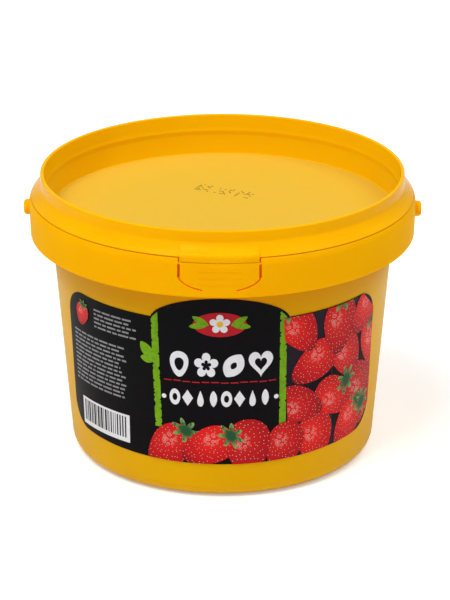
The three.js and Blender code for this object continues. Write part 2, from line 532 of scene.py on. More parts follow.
@dataclass(frozen=True)
class BerryFinish(Finish):
    """Printed berry: round shading, seeds in their pits and glints, on the berry's own UV map."""

    name: str = "berry_print"
    shade: Colour = (0.11, 0.001, 0.010)
    red: Colour = (0.60, 0.004, 0.007)
    bright: Colour = (0.82, 0.013, 0.010)
    glint: Colour = (0.95, 0.56, 0.50)
    seed: Colour = (0.92, 0.40, 0.26)
    light_off: float = 0.22
    red_fade: Spot = (0.2, 0.9)
    shade_fade: Spot = (0.85, 1.4)
    tone_share: float = 0.7
    seed_scale: float = 6.4
    pit_fade: Spot = (0.4, 0.2)
    pit_share: float = 0.3
    seed_fade: Spot = (0.15, 0.08)
    seed_share: float = 0.8
    curl_scale: float = 6.5
    curl_inner: Spot = (0.26, 0.32)
    curl_outer: Spot = (0.42, 0.36)
    glint_fade: Spot = (0.34, 0.18)
    glint_share: float = 0.7
    scatter: float = 0.7
    roughness: float = 0.38
    gleam: float = 0.1

    def paint(self, board: Nodes) -> Feeds:
        """Add the shading on the UV map and the tone attribute.

        Args:
            board: Tree of the material.

        Returns:
            What feeds the shader's inputs, by name.
        """
        place = board.add("UVMap", uv_map=Inks.UV).outputs["UV"]
        tone = board.add("Attribute", attribute_name=Inks.TONE).outputs["Fac"]
        parts = board.add("SeparateXYZ", {"Vector": place}).outputs
        right = board.math("ADD", parts["X"], self.light_off)
        up = board.math("SUBTRACT", parts["Y"], self.light_off)
        far = board.reach(right, up)
        gap, turn = (
            board.add(
                "TexVoronoi",
                {"Vector": place, "Scale": scale, "Randomness": self.scatter},
                voronoi_dimensions="2D",
            ).outputs["Distance"]
            for scale in (self.seed_scale, self.curl_scale)
        )
        ring = board.math("MULTIPLY", board.span(turn, *self.curl_inner), board.span(turn, *self.curl_outer))
        gleaming = board.math("MULTIPLY", board.span(far, *self.glint_fade), self.glint_share)
        body = board.mix(board.span(far, *self.red_fade), self.bright, self.red)
        for share, colour in (
            (board.span(far, *self.shade_fade), self.shade),
            (board.math("MULTIPLY", tone, self.tone_share), self.shade),
            (board.math("MULTIPLY", board.span(gap, *self.pit_fade), self.pit_share), self.shade),
            (board.math("MULTIPLY", ring, gleaming), self.glint),
            (board.math("MULTIPLY", board.span(gap, *self.seed_fade), self.seed_share), self.seed),
        ):
            body = board.mix(share, body, colour)
        return {"Base Color": body, "Roughness": self.roughness, "Specular IOR Level": self.gleam}


@dataclass(frozen=True)
class LeafFinish(Finish):
    """Printed green leaves of the berries, dark at the root and paler at the tips."""

    name: str = "berry_leaf_print"
    root: Colour = (0.015, 0.085, 0.03)
    tip: Colour = (0.22, 0.36, 0.10)
    tip_fade: Spot = (0.25, 0.9)
    patch_scale: float = 3.5
    patch_fade: Spot = (0.5, 0.7)
    roughness: float = 0.38
    gleam: float = 0.1

    def paint(self, board: Nodes) -> Feeds:
        """Add the shading on the UV map.

        Args:
            board: Tree of the material.

        Returns:
            What feeds the shader's inputs, by name.
        """
        place = board.add("UVMap", uv_map=Inks.UV).outputs["UV"]
        far = board.add("VectorMath", {0: place}, operation="LENGTH").outputs["Value"]
        blotch = {"Vector": place, "Scale": self.patch_scale, "Detail": 3}
        patch = board.add("TexNoise", blotch, noise_dimensions="2D").outputs["Fac"]
        body = board.mix(board.span(far, *self.tip_fade), self.root, self.tip)
        body = board.mix(board.span(patch, *self.patch_fade), body, self.root)
        return {"Base Color": body, "Roughness": self.roughness, "Specular IOR Level": self.gleam}


@dataclass(frozen=True)
class Wall:
    """Outer wall of the tub: a cone from the foot to the collar."""

    foot_r: float = 51.04 * MM
    collar_r: float = 57 * MM
    collar_bottom: float = 75.5 * MM

    def radius(self, height: float) -> float:
        """Give the wall's radius at a height."""
        return self.foot_r + (self.collar_r - self.foot_r) * height / self.collar_bottom


@dataclass(frozen=True)
class TearTab:
    """Tear tab of the collar, with the lid's lip above it and the slits round it."""

    half_deg: float = 11.5
    lip_root: float = 91.6 * MM
    lip_root_r: float = 61.2 * MM
    lip_brow: float = 89.6 * MM
    lip_round: float = 1.5 * MM
    lip_bottom: float = 87.3 * MM
    lip_inner_r: float = 62.2 * MM
    clear_deg: float = 0.5
    clear: float = 0.08 * MM
    slit_top: float = 86.6 * MM
    slit_turn: float = 82 * MM
    slit_bend_deg: float = 10.4
    slit_bend: float = 79.4 * MM
    slit_end_deg: float = 4.8
    slit_end: float = 78.1 * MM
    slit_wide: float = 0.8 * MM
    slit_narrow: float = 0.42 * MM
    slit_steps: int = 12
    slit_depth: float = 6.5 * MM

    def slit_paths(self, collar_r: float, side: int) -> list[tuple[list[Vector], float]]:
        """Give the straight and the curved run of one slit.

        Args:
            collar_r: Radius of the collar that the slit cuts.
            side: -1 for the left slit, 1 for the right one.

        Returns:
            The points of each run, just in front of the collar, with the run's width.
        """
        front = -collar_r - MM
        across = [
            side * collar_r * math.sin(math.radians(deg))
            for deg in (self.half_deg, self.slit_bend_deg, self.slit_end_deg)
        ]
        top = Vector((across[0], front, self.slit_top))
        turn = Vector((across[0], front, self.slit_turn))
        pull = Vector((across[1], front, self.slit_bend))
        end = Vector((across[2], front, self.slit_end))
        bend = []
        for k in range(self.slit_steps + 1):
            t = k / self.slit_steps
            bend.append(turn * (1 - t) ** 2 + pull * (2 * t * (1 - t)) + end * t**2)
        return [([top, turn], self.slit_wide), (bend, self.slit_narrow)]


class Zone(Enum):
    """Zones of the tub and of the lid that differ in finish."""

    BODY = auto()
    WALL = auto()
    SLIT = auto()
    SEAM = auto()
    RECESS = auto()


@dataclass(kw_only=True)
class Moulding:
    """Round moulded piece with a finish for each of its zones, and the sizes that tub and lid share."""

    finishes: dict[Zone, Finish]
    tab: TearTab = TearTab()
    sides: int = 240
    soft: float = 0.7 * MM
    edge: float = 0.4 * MM
    fine: float = 0.2 * MM
    well_r: float = 59.5 * MM
    well_floor: float = 81.1 * MM
    collar_top: float = 88.5 * MM
    collar_top_r: float = 63.8 * MM
    seam: float = 0.1 * MM

    def zone(self, spot: Vector) -> Zone:
        """Find the zone of a face from its middle."""
        raise NotImplementedError

    def finish_zones(self, piece: Piece, slot: str) -> None:
        """Give each zone of a piece its finish.

        Args:
            piece: The modelled piece.
            slot: The record's material slot.
        """
        zones = list(self.finishes)
        Bench.finish(piece, slot, [self.finishes[zone].material() for zone in zones])
        for face in piece.data.polygons:
            face.material_index = zones.index(self.zone(face.center))


@dataclass(frozen=True)
class TabGrip:
    """Rows of faint raised bars on the tear tab."""

    heights: tuple[float, ...] = (84.6 * MM, 82.3 * MM, 80 * MM)
    bars: int = 9
    pitch_deg: float = 1.4
    wide: float = 1.1 * MM
    high: float = 0.4 * MM
    proud: float = 0.1 * MM
    root: float = 0.4 * MM

    def build(self, collar: Callable[[float], float]) -> Piece:
        """Make the bars.

        Args:
            collar: Gives the collar's radius at a height.

        Returns:
            All bars in one object.
        """
        grip = Bench.start("tab_grip")
        deep = self.proud + self.root
        for height in self.heights:
            for k in range(self.bars):
                turn = math.radians(self.pitch_deg * (k - (self.bars - 1) / 2))
                arm = collar(height) + self.proud - deep / 2
                at = (arm * math.sin(turn), -arm * math.cos(turn), height)
                bpy.ops.mesh.select_all(action="DESELECT")
                bpy.ops.mesh.primitive_cube_add(size=1, location=at, rotation=(0, 0, turn))
                size = (self.wide, deep, self.high)
                bpy.ops.transform.resize(value=size, center_override=at)
        Bench.close()
        return grip


@dataclass(kw_only=True)
class Tub(Moulding):
    """Moulded tub: wall, base, collar with its tear tab, and the side lugs."""

    collar_r: float
    lug_end: float
    wall: Wall = Wall()
    grip: TabGrip = TabGrip()
    foot_round: float = 5.2 * MM
    base_recess_r: float = 43.5 * MM
    base_recess: float = 1.2 * MM
    gate_r: float = 2.2 * MM
    gate_drop: float = 0.6 * MM
    collar_slope: float = 1.5 * MM
    collar_wall: float = 1.3 * MM
    collar_taper: float = 0.3 * MM
    collar_round: float = 5 * MM
    rim_step: float = 79.6 * MM
    rim_r: float = 60.8 * MM
    rim_under: float = 87 * MM
    notch_steps: int = 31
    lug_r: float = 2.6 * MM
    lug_middle: float = 83 * MM
    lug_root: float = 1.2 * MM
    lug_soft: float = 1.1 * MM
    lug_sides: int = 48
    slit_clear_deg: float = 1

    def corners(self) -> list[Corner]:
        """List the corners of the tub's outline.

        Returns:
            Radius, height and round of each corner, from the middle of the base to the well's floor.
        """
        skirt_in = self.collar_r - self.collar_wall
        skirt_low = self.collar_r - self.collar_taper
        bottom = self.wall.collar_bottom
        return [
            (0, self.base_recess - self.gate_drop, 0),
            (self.gate_r, self.base_recess - self.gate_drop, self.fine),
            (self.gate_r, self.base_recess, self.fine),
            (self.base_recess_r - self.base_recess, self.base_recess, self.edge),
            (self.base_recess_r, 0, self.edge),
            (self.wall.foot_r, 0, self.foot_round),
            (self.wall.radius(self.rim_step), self.rim_step, self.edge),
            (self.rim_r, self.rim_step, self.soft),
            (self.rim_r, self.rim_under, self.edge),
            (skirt_in, self.rim_under, self.edge),
            (skirt_in - self.collar_taper, bottom, self.edge),
            (skirt_low, bottom, self.soft),
            (self.collar_r, self.collar_top - self.collar_slope, self.collar_round),
            (self.collar_top_r, self.collar_top, self.fine),
            (self.well_r, self.collar_top, self.edge),
            (self.well_r, self.well_floor, self.edge),
            (0, self.well_floor, 0),
        ]

    def collar_reach(self, height: float) -> float:
        """Give the collar's outer radius at a height."""
        top = self.collar_top - self.collar_slope
        return self.collar_r - self.collar_taper * (top - height) / (top - self.wall.collar_bottom)

    def slit_cutter(self, path: Sequence[Vector], width: float) -> Piece:
        """Make the cutter of one run of a slit: its path pulled back through the collar and thickened.

        Args:
            path: Points of the run in front of the collar.
            width: Width of the slit.

        Returns:
            The cutter.
        """
        cutter = Bench.start("slit_cutter")
        Bench.draw(path)
        bpy.ops.mesh.select_all(action="SELECT")
        pull = (0, self.tab.slit_depth, 0)
        bpy.ops.mesh.extrude_edges_move(TRANSFORM_OT_translate={"value": pull})
        Bench.close()
        Bench.apply(cutter, "SOLIDIFY", thickness=width, offset=0)
        return cutter

    def lug(self, side: int) -> Piece:
        """Make one side lug: a round stud with a softened end, rooted in the collar.

        Args:
            side: -1 for the left lug, 1 for the right one.

        Returns:
            The stud.
        """
        root = self.collar_r - self.lug_root
        reach = self.lug_end - root
        outline = [(0, 0, 0), (self.lug_r, 0, 0), (self.lug_r, reach, self.lug_soft), (0, reach, 0)]
        stud = Bench.spun("lug", rounded(outline), self.lug_sides)
        # Turned by half a step, so that none of its edges runs along one of the collar's
        stud.rotation_mode = "ZYX"
        stud.rotation_euler = (0, side * math.pi / 2, math.pi / self.lug_sides)
        stud.location = (side * root, 0, self.lug_middle)
        Bench.pick(stud)
        bpy.ops.object.transform_apply(location=True, rotation=True, scale=True)
        return stud

    def build(self) -> Piece:
        """Model the tub.

        Returns:
            The tub's piece.
        """
        tub = Bench.spun("moulded_tub", rounded(self.corners()), self.sides)
        notch_deg = self.tab.half_deg + self.tab.clear_deg / 2
        notch_r = self.tab.lip_inner_r - self.tab.clear
        notch_low = self.tab.lip_bottom - self.tab.clear
        outside = self.collar_r + MM
        above = self.collar_top + MM
        low = [(notch_r, notch_low, 0), (outside, notch_low, 0)]
        section = [*low, (outside, above, 0), (notch_r, above, 0)]
        notch = Bench.spun("notch_cutter", rounded(section), self.notch_steps, notch_deg)
        Bench.combine(tub, notch, "DIFFERENCE")
        for side in (-1, 1):
            for path, width in self.tab.slit_paths(self.collar_r, side):
                Bench.combine(tub, self.slit_cutter(path, width), "DIFFERENCE")
            Bench.combine(tub, self.lug(side), "UNION")
        Bench.combine(tub, self.grip.build(self.collar_reach), "UNION")
        Bench.smooth(tub)
        return tub

    def zone(self, spot: Vector) -> Zone:
        """Find the zone of a face.

        Args:
            spot: Middle of the face.

        Returns:
            The wall below the collar, with its painted shade, the slits with the plastic behind the tab,
            with their painted glow, the seam below the lid, with its painted shade, or the collar.
        """
        reach = math.hypot(spot.x, spot.y)
        if spot.z < self.rim_step and reach < self.wall.radius(spot.z) + self.fine:
            return Zone.WALL
        turn_deg = abs(math.degrees(math.atan2(spot.x, -spot.y)))
        behind_tab = turn_deg < self.tab.half_deg + self.slit_clear_deg and reach < self.collar_r - self.soft
        if behind_tab and self.tab.slit_end - MM < spot.z < self.collar_top - self.fine:
            return Zone.SLIT
        if spot.z > self.collar_top - self.seam:
            return Zone.SEAM
        return Zone.BODY

    def dress(self, tub: Piece) -> None:
        """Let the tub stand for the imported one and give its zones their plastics."""
        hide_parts("tub")
        self.finish_zones(tub, "tub_plastic")


@dataclass(kw_only=True)
class Lid(Moulding):
    """Press-on lid: plug, shoulder, standing rim, beaded recess wall, panel and the lip over the tab."""

    rim_top: float
    lip_r: float
    lip_steps: int = 32
    gap: float = 0.1 * MM
    shoulder_bend: float = 90.3 * MM
    shoulder_bend_r: float = 62.35 * MM
    shoulder_bend_round: float = 3 * MM
    shoulder_top: float = 92.9 * MM
    shoulder_top_r: float = 60.6 * MM
    shoulder_round: float = 1.6 * MM
    rim_outer_r: float = 60.5 * MM
    rim_inner_r: float = 59.3 * MM
    rim_round: float = 0.5 * MM
    bead_top: float = 92 * MM
    bead_top_r: float = 58.8 * MM
    bead_nose: float = 90.9 * MM
    bead_nose_r: float = 58.5 * MM
    bead_round: float = 0.6 * MM
    bead_under: float = 89.4 * MM
    bead_under_r: float = 58.66 * MM
    panel_r: float = 57.7 * MM
    panel_top: float = 82.6 * MM

    def corners(self) -> list[Corner]:
        """List the corners of the lid's outline.

        Returns:
            Radius, height and round of each corner, from the middle of the plug to that of the panel.
        """
        plug_low = self.well_floor + self.gap
        plug_r = self.well_r - self.gap
        under = self.collar_top + self.gap
        return [
            (0, plug_low, 0),
            (plug_r, plug_low, self.soft),
            (plug_r, under, self.edge),
            (self.collar_top_r, under, self.fine),
            (self.shoulder_bend_r, self.shoulder_bend, self.shoulder_bend_round),
            (self.shoulder_top_r, self.shoulder_top, self.shoulder_round),
            (self.rim_outer_r, self.rim_top, self.rim_round),
            (self.rim_inner_r, self.rim_top, self.rim_round),
            (self.bead_top_r, self.bead_top, self.bead_round),
            (self.bead_nose_r, self.bead_nose, self.bead_round),
            (self.bead_under_r, self.bead_under, self.bead_round),
            (self.panel_r, self.panel_top, self.soft),
            (0, self.panel_top, 0),
        ]

    def build(self) -> Piece:
        """Model the lid.

        Returns:
            The lid's piece.
        """
        lid = Bench.spun("press_on_lid", rounded(self.corners()), self.sides)
        lip_deg = self.tab.half_deg - self.tab.clear_deg / 2
        section = [
            (self.tab.lip_inner_r, self.tab.lip_bottom, 0),
            (self.lip_r, self.tab.lip_bottom, self.edge),
            (self.lip_r, self.tab.lip_brow, self.tab.lip_round),
            (self.tab.lip_root_r, self.tab.lip_root, 0),
            (self.tab.lip_root_r, self.collar_top + self.edge, 0),
            (self.tab.lip_inner_r, self.collar_top + self.edge, 0),
        ]
        Bench.combine(lid, Bench.spun("tab_lip", rounded(section), self.lip_steps, lip_deg), "UNION")
        Bench.smooth(lid)
        return lid

    def zone(self, spot: Vector) -> Zone:
        """Find the zone of a face.

        Args:
            spot: Middle of the face.

        Returns:
            The recess wall, with its painted light, the seam above the collar, with its painted shade, or
            the rest of the lid.
        """
        reach = math.hypot(spot.x, spot.y)
        if reach < self.rim_inner_r and spot.z > self.panel_top + self.soft / 2:
            return Zone.RECESS
        turn_deg = abs(math.degrees(math.atan2(spot.x, -spot.y)))
        beside_lip = turn_deg > self.tab.half_deg and reach > self.well_r
        if beside_lip and spot.z < self.collar_top + self.gap + self.seam:
            return Zone.SEAM
        return Zone.BODY

    def dress(self, lid: Piece) -> None:
        """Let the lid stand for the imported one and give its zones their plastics."""
        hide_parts("lid")
        self.finish_zones(lid, "lid_plastic")


class Motif(Enum):
    """Simple flat shapes of the label's print."""

    ROUND = auto()
    BERRY = auto()
    CAP = auto()
    LEAF = auto()
    HEART = auto()
    DROP = auto()
    BLOSSOM = auto()
    DIAMOND = auto()

    def edge(self, turn: float) -> Spot:
        """Give a point of the outline, in a box from -1 to 1.

        Args:
            turn: Angle from the top, clockwise, in radians.

        Returns:
            Place across and up.
        """
        across = math.sin(turn)
        up = math.cos(turn)
        if self is Motif.BERRY:
            return 0.9 * across * (0.66 + 0.34 * (1 + up) / 2) * (1 + 0.06 * up), up
        if self is Motif.CAP:
            reach = 0.38 + 0.62 * abs(math.cos(3.5 * turn)) ** 1.7
            return reach * across, reach * up
        if self is Motif.LEAF:
            return 0.45 * across * abs(across) ** 0.5, up
        if self is Motif.HEART:
            swell = 13 * up - 5 * math.cos(2 * turn) - 2 * math.cos(3 * turn) - math.cos(4 * turn)
            return across**3, (swell + 2.5) / 14.5
        if self is Motif.DROP:
            return 0.8 * across * abs(math.sin(turn / 2)) ** 1.3, up
        if self is Motif.BLOSSOM:
            reach = 0.5 + 0.5 * abs(math.cos(2.5 * turn)) ** 0.7
            return reach * across, reach * up
        if self is Motif.DIAMOND:
            reach = 1 / (abs(across) + abs(up))
            return reach * across, reach * up
        return across, up


@dataclass
class Inks:
    """One ink of the label, drawn flat in front of the wall, then laid round it."""

    UV = "own_place"
    TONE = "tone"

    name: str
    wall: Wall
    column: float = 1 * MM
    film: float = 0.006 * MM
    torn_step: float = 0.55 * MM
    torn_share: float = 0.16
    torn: Spot = (0.3, 0.65)
    ragged: float = 0.08
    piece: Piece = field(init=False)

    def __post_init__(self) -> None:
        """Open an empty piece for the ink."""
        self.piece = Bench.start(self.name)

    def picked(self, mesh: bmesh.types.BMesh) -> list[bmesh.types.BMVert]:
        """List the selected vertices of the open piece."""
        return [vert for vert in mesh.verts if vert.select]

    def plate(self, low: Spot, high: Spot, lift: float) -> None:
        """Draw a rectangle.

        Args:
            low: Its lower left corner.
            high: Its upper right corner.
            lift: Its height above the wall.
        """
        at = ((low[0] + high[0]) / 2, -lift, (low[1] + high[1]) / 2)
        size = (high[0] - low[0], 1, high[1] - low[1])
        bpy.ops.mesh.select_all(action="DESELECT")
        bpy.ops.mesh.primitive_plane_add(size=1, location=at, rotation=Bench.FLAT)
        bpy.ops.transform.resize(value=size, center_override=at)

    def stripe(self, low: Spot, high: Spot, width: float, draw: random.Random, lift: float) -> None:
        """Draw an upright stripe with small torn notches in its edges.

        Args:
            low: Middle of its lower end.
            high: Middle of its upper end.
            width: Its width.
            draw: Seeded random draw.
            lift: Its height above the wall.
        """
        steps = round((high[1] - low[1]) / self.torn_step)
        bpy.ops.mesh.select_all(action="DESELECT")
        bpy.ops.mesh.primitive_grid_add(x_subdivisions=1, y_subdivisions=steps, size=1)
        mesh = bmesh.from_edit_mesh(self.piece.data)
        for vert in self.picked(mesh):
            share = vert.co.y + 0.5
            deep = draw.random() < self.torn_share
            notch = draw.uniform(*self.torn) if deep else draw.uniform(0, self.ragged)
            half = width / 2 - notch * MM
            middle = low[0] + (high[0] - low[0]) * share
            height = low[1] + (high[1] - low[1]) * share
            vert.co = (middle + math.copysign(half, vert.co.x), -lift, height)
        bmesh.update_edit_mesh(self.piece.data)

    def motif(
        self,
        shape: Motif,
        at: Spot,
        half: Spot,
        lift: float,
        tilt_deg: float = 0,
        hole: float = 0,
        tone: float = 0,
        points: int = 44,
    ) -> None:
        """Draw a motif, filled or with a hole of its own shape.

        Args:
            shape: The motif.
            at: Its middle.
            half: Half of its width and of its height.
            lift: Its height above the wall.
            tilt_deg: Its turn, anticlockwise.
            hole: Size of the hole as a share of the motif, or 0 for none.
            tone: Value kept on its faces for the shading.
            points: Points of its outline.
        """
        fill = "NOTHING" if hole else "NGON"
        bpy.ops.mesh.select_all(action="DESELECT")
        bpy.ops.mesh.primitive_circle_add(vertices=points, radius=1, fill_type=fill, rotation=Bench.FLAT)
        if hole:
            bpy.ops.mesh.extrude_edges_move()
            bpy.ops.transform.resize(value=(hole, hole, hole), center_override=(0, 0, 0))
            bpy.ops.mesh.select_linked()
        mesh = bmesh.from_edit_mesh(self.piece.data)
        own_place = mesh.loops.layers.uv.get(self.UV) or mesh.loops.layers.uv.new(self.UV)
        tones = mesh.faces.layers.float.get(self.TONE) or mesh.faces.layers.float.new(self.TONE)
        tilt = math.radians(tilt_deg)
        local = {}
        for vert in self.picked(mesh):
            reach = math.hypot(vert.co.x, vert.co.z)
            edge = shape.edge(math.atan2(vert.co.x, vert.co.z))
            local[vert] = (reach * edge[0], reach * edge[1])
            wide = local[vert][0] * half[0]
            high = local[vert][1] * half[1]
            right = wide * math.cos(tilt) - high * math.sin(tilt)
            rise = wide * math.sin(tilt) + high * math.cos(tilt)
            vert.co = (at[0] + right, -lift, at[1] + rise)
        for face in mesh.faces:
            if face.verts[0] in local:
                face[tones] = tone
                for corner in face.loops:
                    corner[own_place].uv = local[corner.vert]
        bmesh.update_edit_mesh(self.piece.data)

    def trim(self, at: Spot, outward: Spot) -> None:
        """Cut off what lies past a straight line.

        Args:
            at: A point of the line.
            outward: Direction of the side that is cut off.
        """
        bpy.ops.mesh.select_all(action="SELECT")
        line = {"plane_co": (at[0], 0, at[1]), "plane_no": (outward[0], 0, outward[1])}
        bpy.ops.mesh.bisect(clear_outer=True, **line)

    def face_front(self) -> None:
        """Turn every flat face of the open piece to the front."""
        bpy.ops.mesh.select_all(action="DESELECT")
        mesh = bmesh.from_edit_mesh(self.piece.data)
        for face in mesh.faces:
            face.normal_update()
            face.select_set(face.normal.y > 0)
        bmesh.update_edit_mesh(self.piece.data)
        bpy.ops.mesh.flip_normals()

    def lay(self) -> Piece:
        """Cut the flat ink in narrow columns, give it its thickness and lay it round the wall.

        Returns:
            The ink's piece.
        """
        self.face_front()
        across = [vert.co.x for vert in bmesh.from_edit_mesh(self.piece.data).verts]
        first = math.ceil(min(across) / self.column)
        last = math.floor(max(across) / self.column)
        for k in range(first, last + 1):
            bpy.ops.mesh.select_all(action="SELECT")
            bpy.ops.mesh.bisect(plane_co=(k * self.column, 0, 0), plane_no=(1, 0, 0))
        bpy.ops.object.mode_set(mode="OBJECT")
        Bench.apply(self.piece, "SOLIDIFY", thickness=self.film, offset=-1)
        for vert in self.piece.data.vertices:
            turn = vert.co.x / self.wall.radius(vert.co.z)
            reach = self.wall.radius(vert.co.z) - vert.co.y
            vert.co = (reach * math.sin(turn), -reach * math.cos(turn), vert.co.z)
        Bench.smooth(self.piece)
        return self.piece


@dataclass(frozen=True)
class Berry:
    """Place and look of one printed berry."""

    CROWN = 0.88

    at: Spot
    half: Spot
    tilt_deg: float
    tone: float
    capped: bool

    def crown(self) -> Spot:
        """Give the place of the berry's leaves."""
        tilt = math.radians(self.tilt_deg)
        reach = self.CROWN * self.half[1]
        return self.at[0] - reach * math.sin(tilt), self.at[1] + reach * math.cos(tilt)


@dataclass
class Label:
    """Printed film round the front of the tub, with a generic fruit design of plain shapes."""

    wall: Wall = Wall()
    half_deg: float = 62.8
    bottom: float = 12.8 * MM
    bottom_rise: float = 2 * MM
    top: float = 64.4 * MM
    top_rise: float = 0.7 * MM
    corner_round: float = 9 * MM
    dome_half_deg: float = 23.3
    dome_rise: float = 8.1 * MM
    dome_flank: float = 0.65
    film_lift: float = 0.2 * MM
    film_thick: float = 0.12 * MM
    round_steps: int = 16
    column_deg: float = 1
    film_rows: int = 12
    least_deg: float = 0.02
    margin: float = 0.06 * MM
    ground_lift: float = 0.215 * MM
    under_lift: float = 0.23 * MM
    oval_lift: float = 0.235 * MM
    leaf_lift: float = 0.245 * MM
    motif_lift: float = 0.25 * MM
    over_lift: float = 0.27 * MM
    berry_half: Spot = mm(9, 10)
    berry_stray: Spot = mm(0.8, 1.4)
    berry_sizes: Spot = (0.9, 1.1)
    berry_tilt_deg: float = 75
    berry_tone: float = 0.6
    capped_share: float = 0.55
    cap_half: Spot = (0.6, 0.42)
    berry_lift: float = 0.25 * MM
    berry_layer: float = 0.01 * MM
    black: InkFinish = InkFinish(
        "label_black", (0.0022, 0.0016, 0.0024), (0.0030, 0.0024, 0.0034), gleam=0.06
    )
    night: InkFinish = InkFinish("label_night", (0.010, 0.006, 0.014), (0.022, 0.006, 0.016))
    green: InkFinish = InkFinish("label_green", (0.185, 0.41, 0.004), (0.12, 0.27, 0.006))
    white: InkFinish = InkFinish("label_white", (0.80, 0.80, 0.82), (0.72, 0.72, 0.74))
    grey: InkFinish = InkFinish("label_grey", (0.27, 0.27, 0.28), (0.20, 0.20, 0.21))
    red: InkFinish = InkFinish("label_red", (0.50, 0.010, 0.018), (0.40, 0.01, 0.02))
    gold: InkFinish = InkFinish("label_gold", (0.80, 0.50, 0.03), (0.70, 0.42, 0.03))
    dark: InkFinish = InkFinish("label_dark", (0.012, 0.011, 0.013), (0.02, 0.018, 0.02))
    berry: BerryFinish = BerryFinish()
    leaf: LeafFinish = LeafFinish()

    def span(self, deg: float) -> tuple[float, float]:
        """Give the lowest and the highest point of the film at an angle.

        Args:
            deg: Angle from the front, measured at the top edge.

        Returns:
            Two heights.
        """
        away = abs(deg)
        inside = math.radians(self.half_deg - away) * self.wall.radius(self.top)
        fall = 0.0
        if inside < self.corner_round:
            fall = self.corner_round - math.sqrt(self.corner_round**2 - (self.corner_round - inside) ** 2)
        outward = (away / self.half_deg) ** 2
        low = self.bottom + self.bottom_rise * outward
        high = self.top + self.top_rise * outward
        dome = 0.0
        if away < self.dome_half_deg:
            dome = self.dome_rise * (1 - (away / self.dome_half_deg) ** 2) ** self.dome_flank
        return low + fall, high + dome - fall

    def columns(self) -> list[float]:
        """List the angles of the film's columns, closer where the outline is round.

        Returns:
            Angles in degrees from the left end to the right one.
        """
        corner_deg = math.degrees(self.corner_round / self.wall.radius(self.top))
        right = {k * self.column_deg for k in range(int(self.half_deg / self.column_deg))}
        for k in range(self.round_steps + 1):
            share = 1 - math.cos(math.pi / 2 * k / self.round_steps)
            right.add(self.half_deg - corner_deg * share)
            right.add(self.dome_half_deg * (1 - share))
        both = sorted(right | {-deg for deg in right})
        kept = [both[0]]
        for deg in both[1:]:
            if deg - kept[-1] > self.least_deg:
                kept.append(deg)
        return kept

    def film(self) -> Piece:
        """Model the film: a grid shaped to the outline, laid round the wall and thickened.

        Returns:
            The film's piece.
        """
        columns = self.columns()
        across = len(columns) - 1
        Bench.clear()
        bpy.ops.mesh.primitive_grid_add(x_subdivisions=across, y_subdivisions=self.film_rows, size=1)
        film = bpy.context.object
        film.name = "label_film"
        film.data.name = "label_film"
        for vert in film.data.vertices:
            deg = columns[round((vert.co.x + 0.5) * across)]
            low, high = self.span(deg)
            height = low + (high - low) * (vert.co.y + 0.5)
            reach = self.wall.radius(height) + self.film_lift
            turn = self.flat(deg) / self.wall.radius(height)
            vert.co = (reach * math.sin(turn), -reach * math.cos(turn), height)
        Bench.apply(film, "SOLIDIFY", thickness=self.film_thick, offset=-1)
        Bench.smooth(film)
        return film

    def flat(self, deg: float) -> float:
        """Give the flat drawing's place of an angle at the top edge."""
        return math.radians(deg) * self.wall.radius(self.top)

    def trim_to_film(self, ink: Inks) -> None:
        """Cut an ink off at the film's right end and along lines that touch its edges.

        Args:
            ink: The ink to cut.
        """
        ink.trim((self.flat(self.half_deg) - self.margin, self.top), (1, 0))
        corner = [self.half_deg - inside for inside in (10, 8, 6, 4, 2.5, 1.4, 0.6, 0.2)]
        run = self.flat(self.least_deg)
        for deg in (-20, -10, 0, 10, 20, 30, 40, 50, *corner):
            across = self.flat(deg)
            low, high = self.span(deg)
            low_before, high_before = self.span(deg - self.least_deg)
            ink.trim((across, low + self.margin), ((low - low_before) / run, -1))
            if deg > self.dome_half_deg:
                ink.trim((across, high - self.margin), ((high_before - high) / run, 1))

    def ground(self, ink: Inks) -> None:
        """Print the dark ground under the berries of the right side."""
        ink.plate(mm(20.5, 10), mm(66, 67), self.ground_lift)
        self.trim_to_film(ink)

    def stripes(self, ink: Inks) -> None:
        """Print the two stripes, the leaves on the left one and those of the blossom.

        Args:
            ink: The green ink.
        """
        draw = random.Random(11)
        ink.stripe(mm(-20.4, 25), mm(-21.6, 67), 2.5 * MM, draw, self.under_lift)
        ink.stripe(mm(20.6, 24), mm(20.7, 67), 2.4 * MM, draw, self.under_lift)
        for side in (-1, 1):
            ink.trim(mm(side * 21.6, 65.2), (side * 0.7, 0.7))
        ink.motif(Motif.LEAF, mm(-24.2, 52), mm(4.2, 3.7), 0.24 * MM, 38)
        ink.motif(Motif.LEAF, mm(-24.1, 49.1), mm(3.2, 2.5), self.leaf_lift, 84)
        for side in (-1, 1):
            for reach, height, tilt in ((6.2, 64.6, 60), (6.9, 62.9, 98)):
                ink.motif(Motif.LEAF, mm(side * reach, height), mm(2.4, 3.0), self.leaf_lift, -side * tilt)

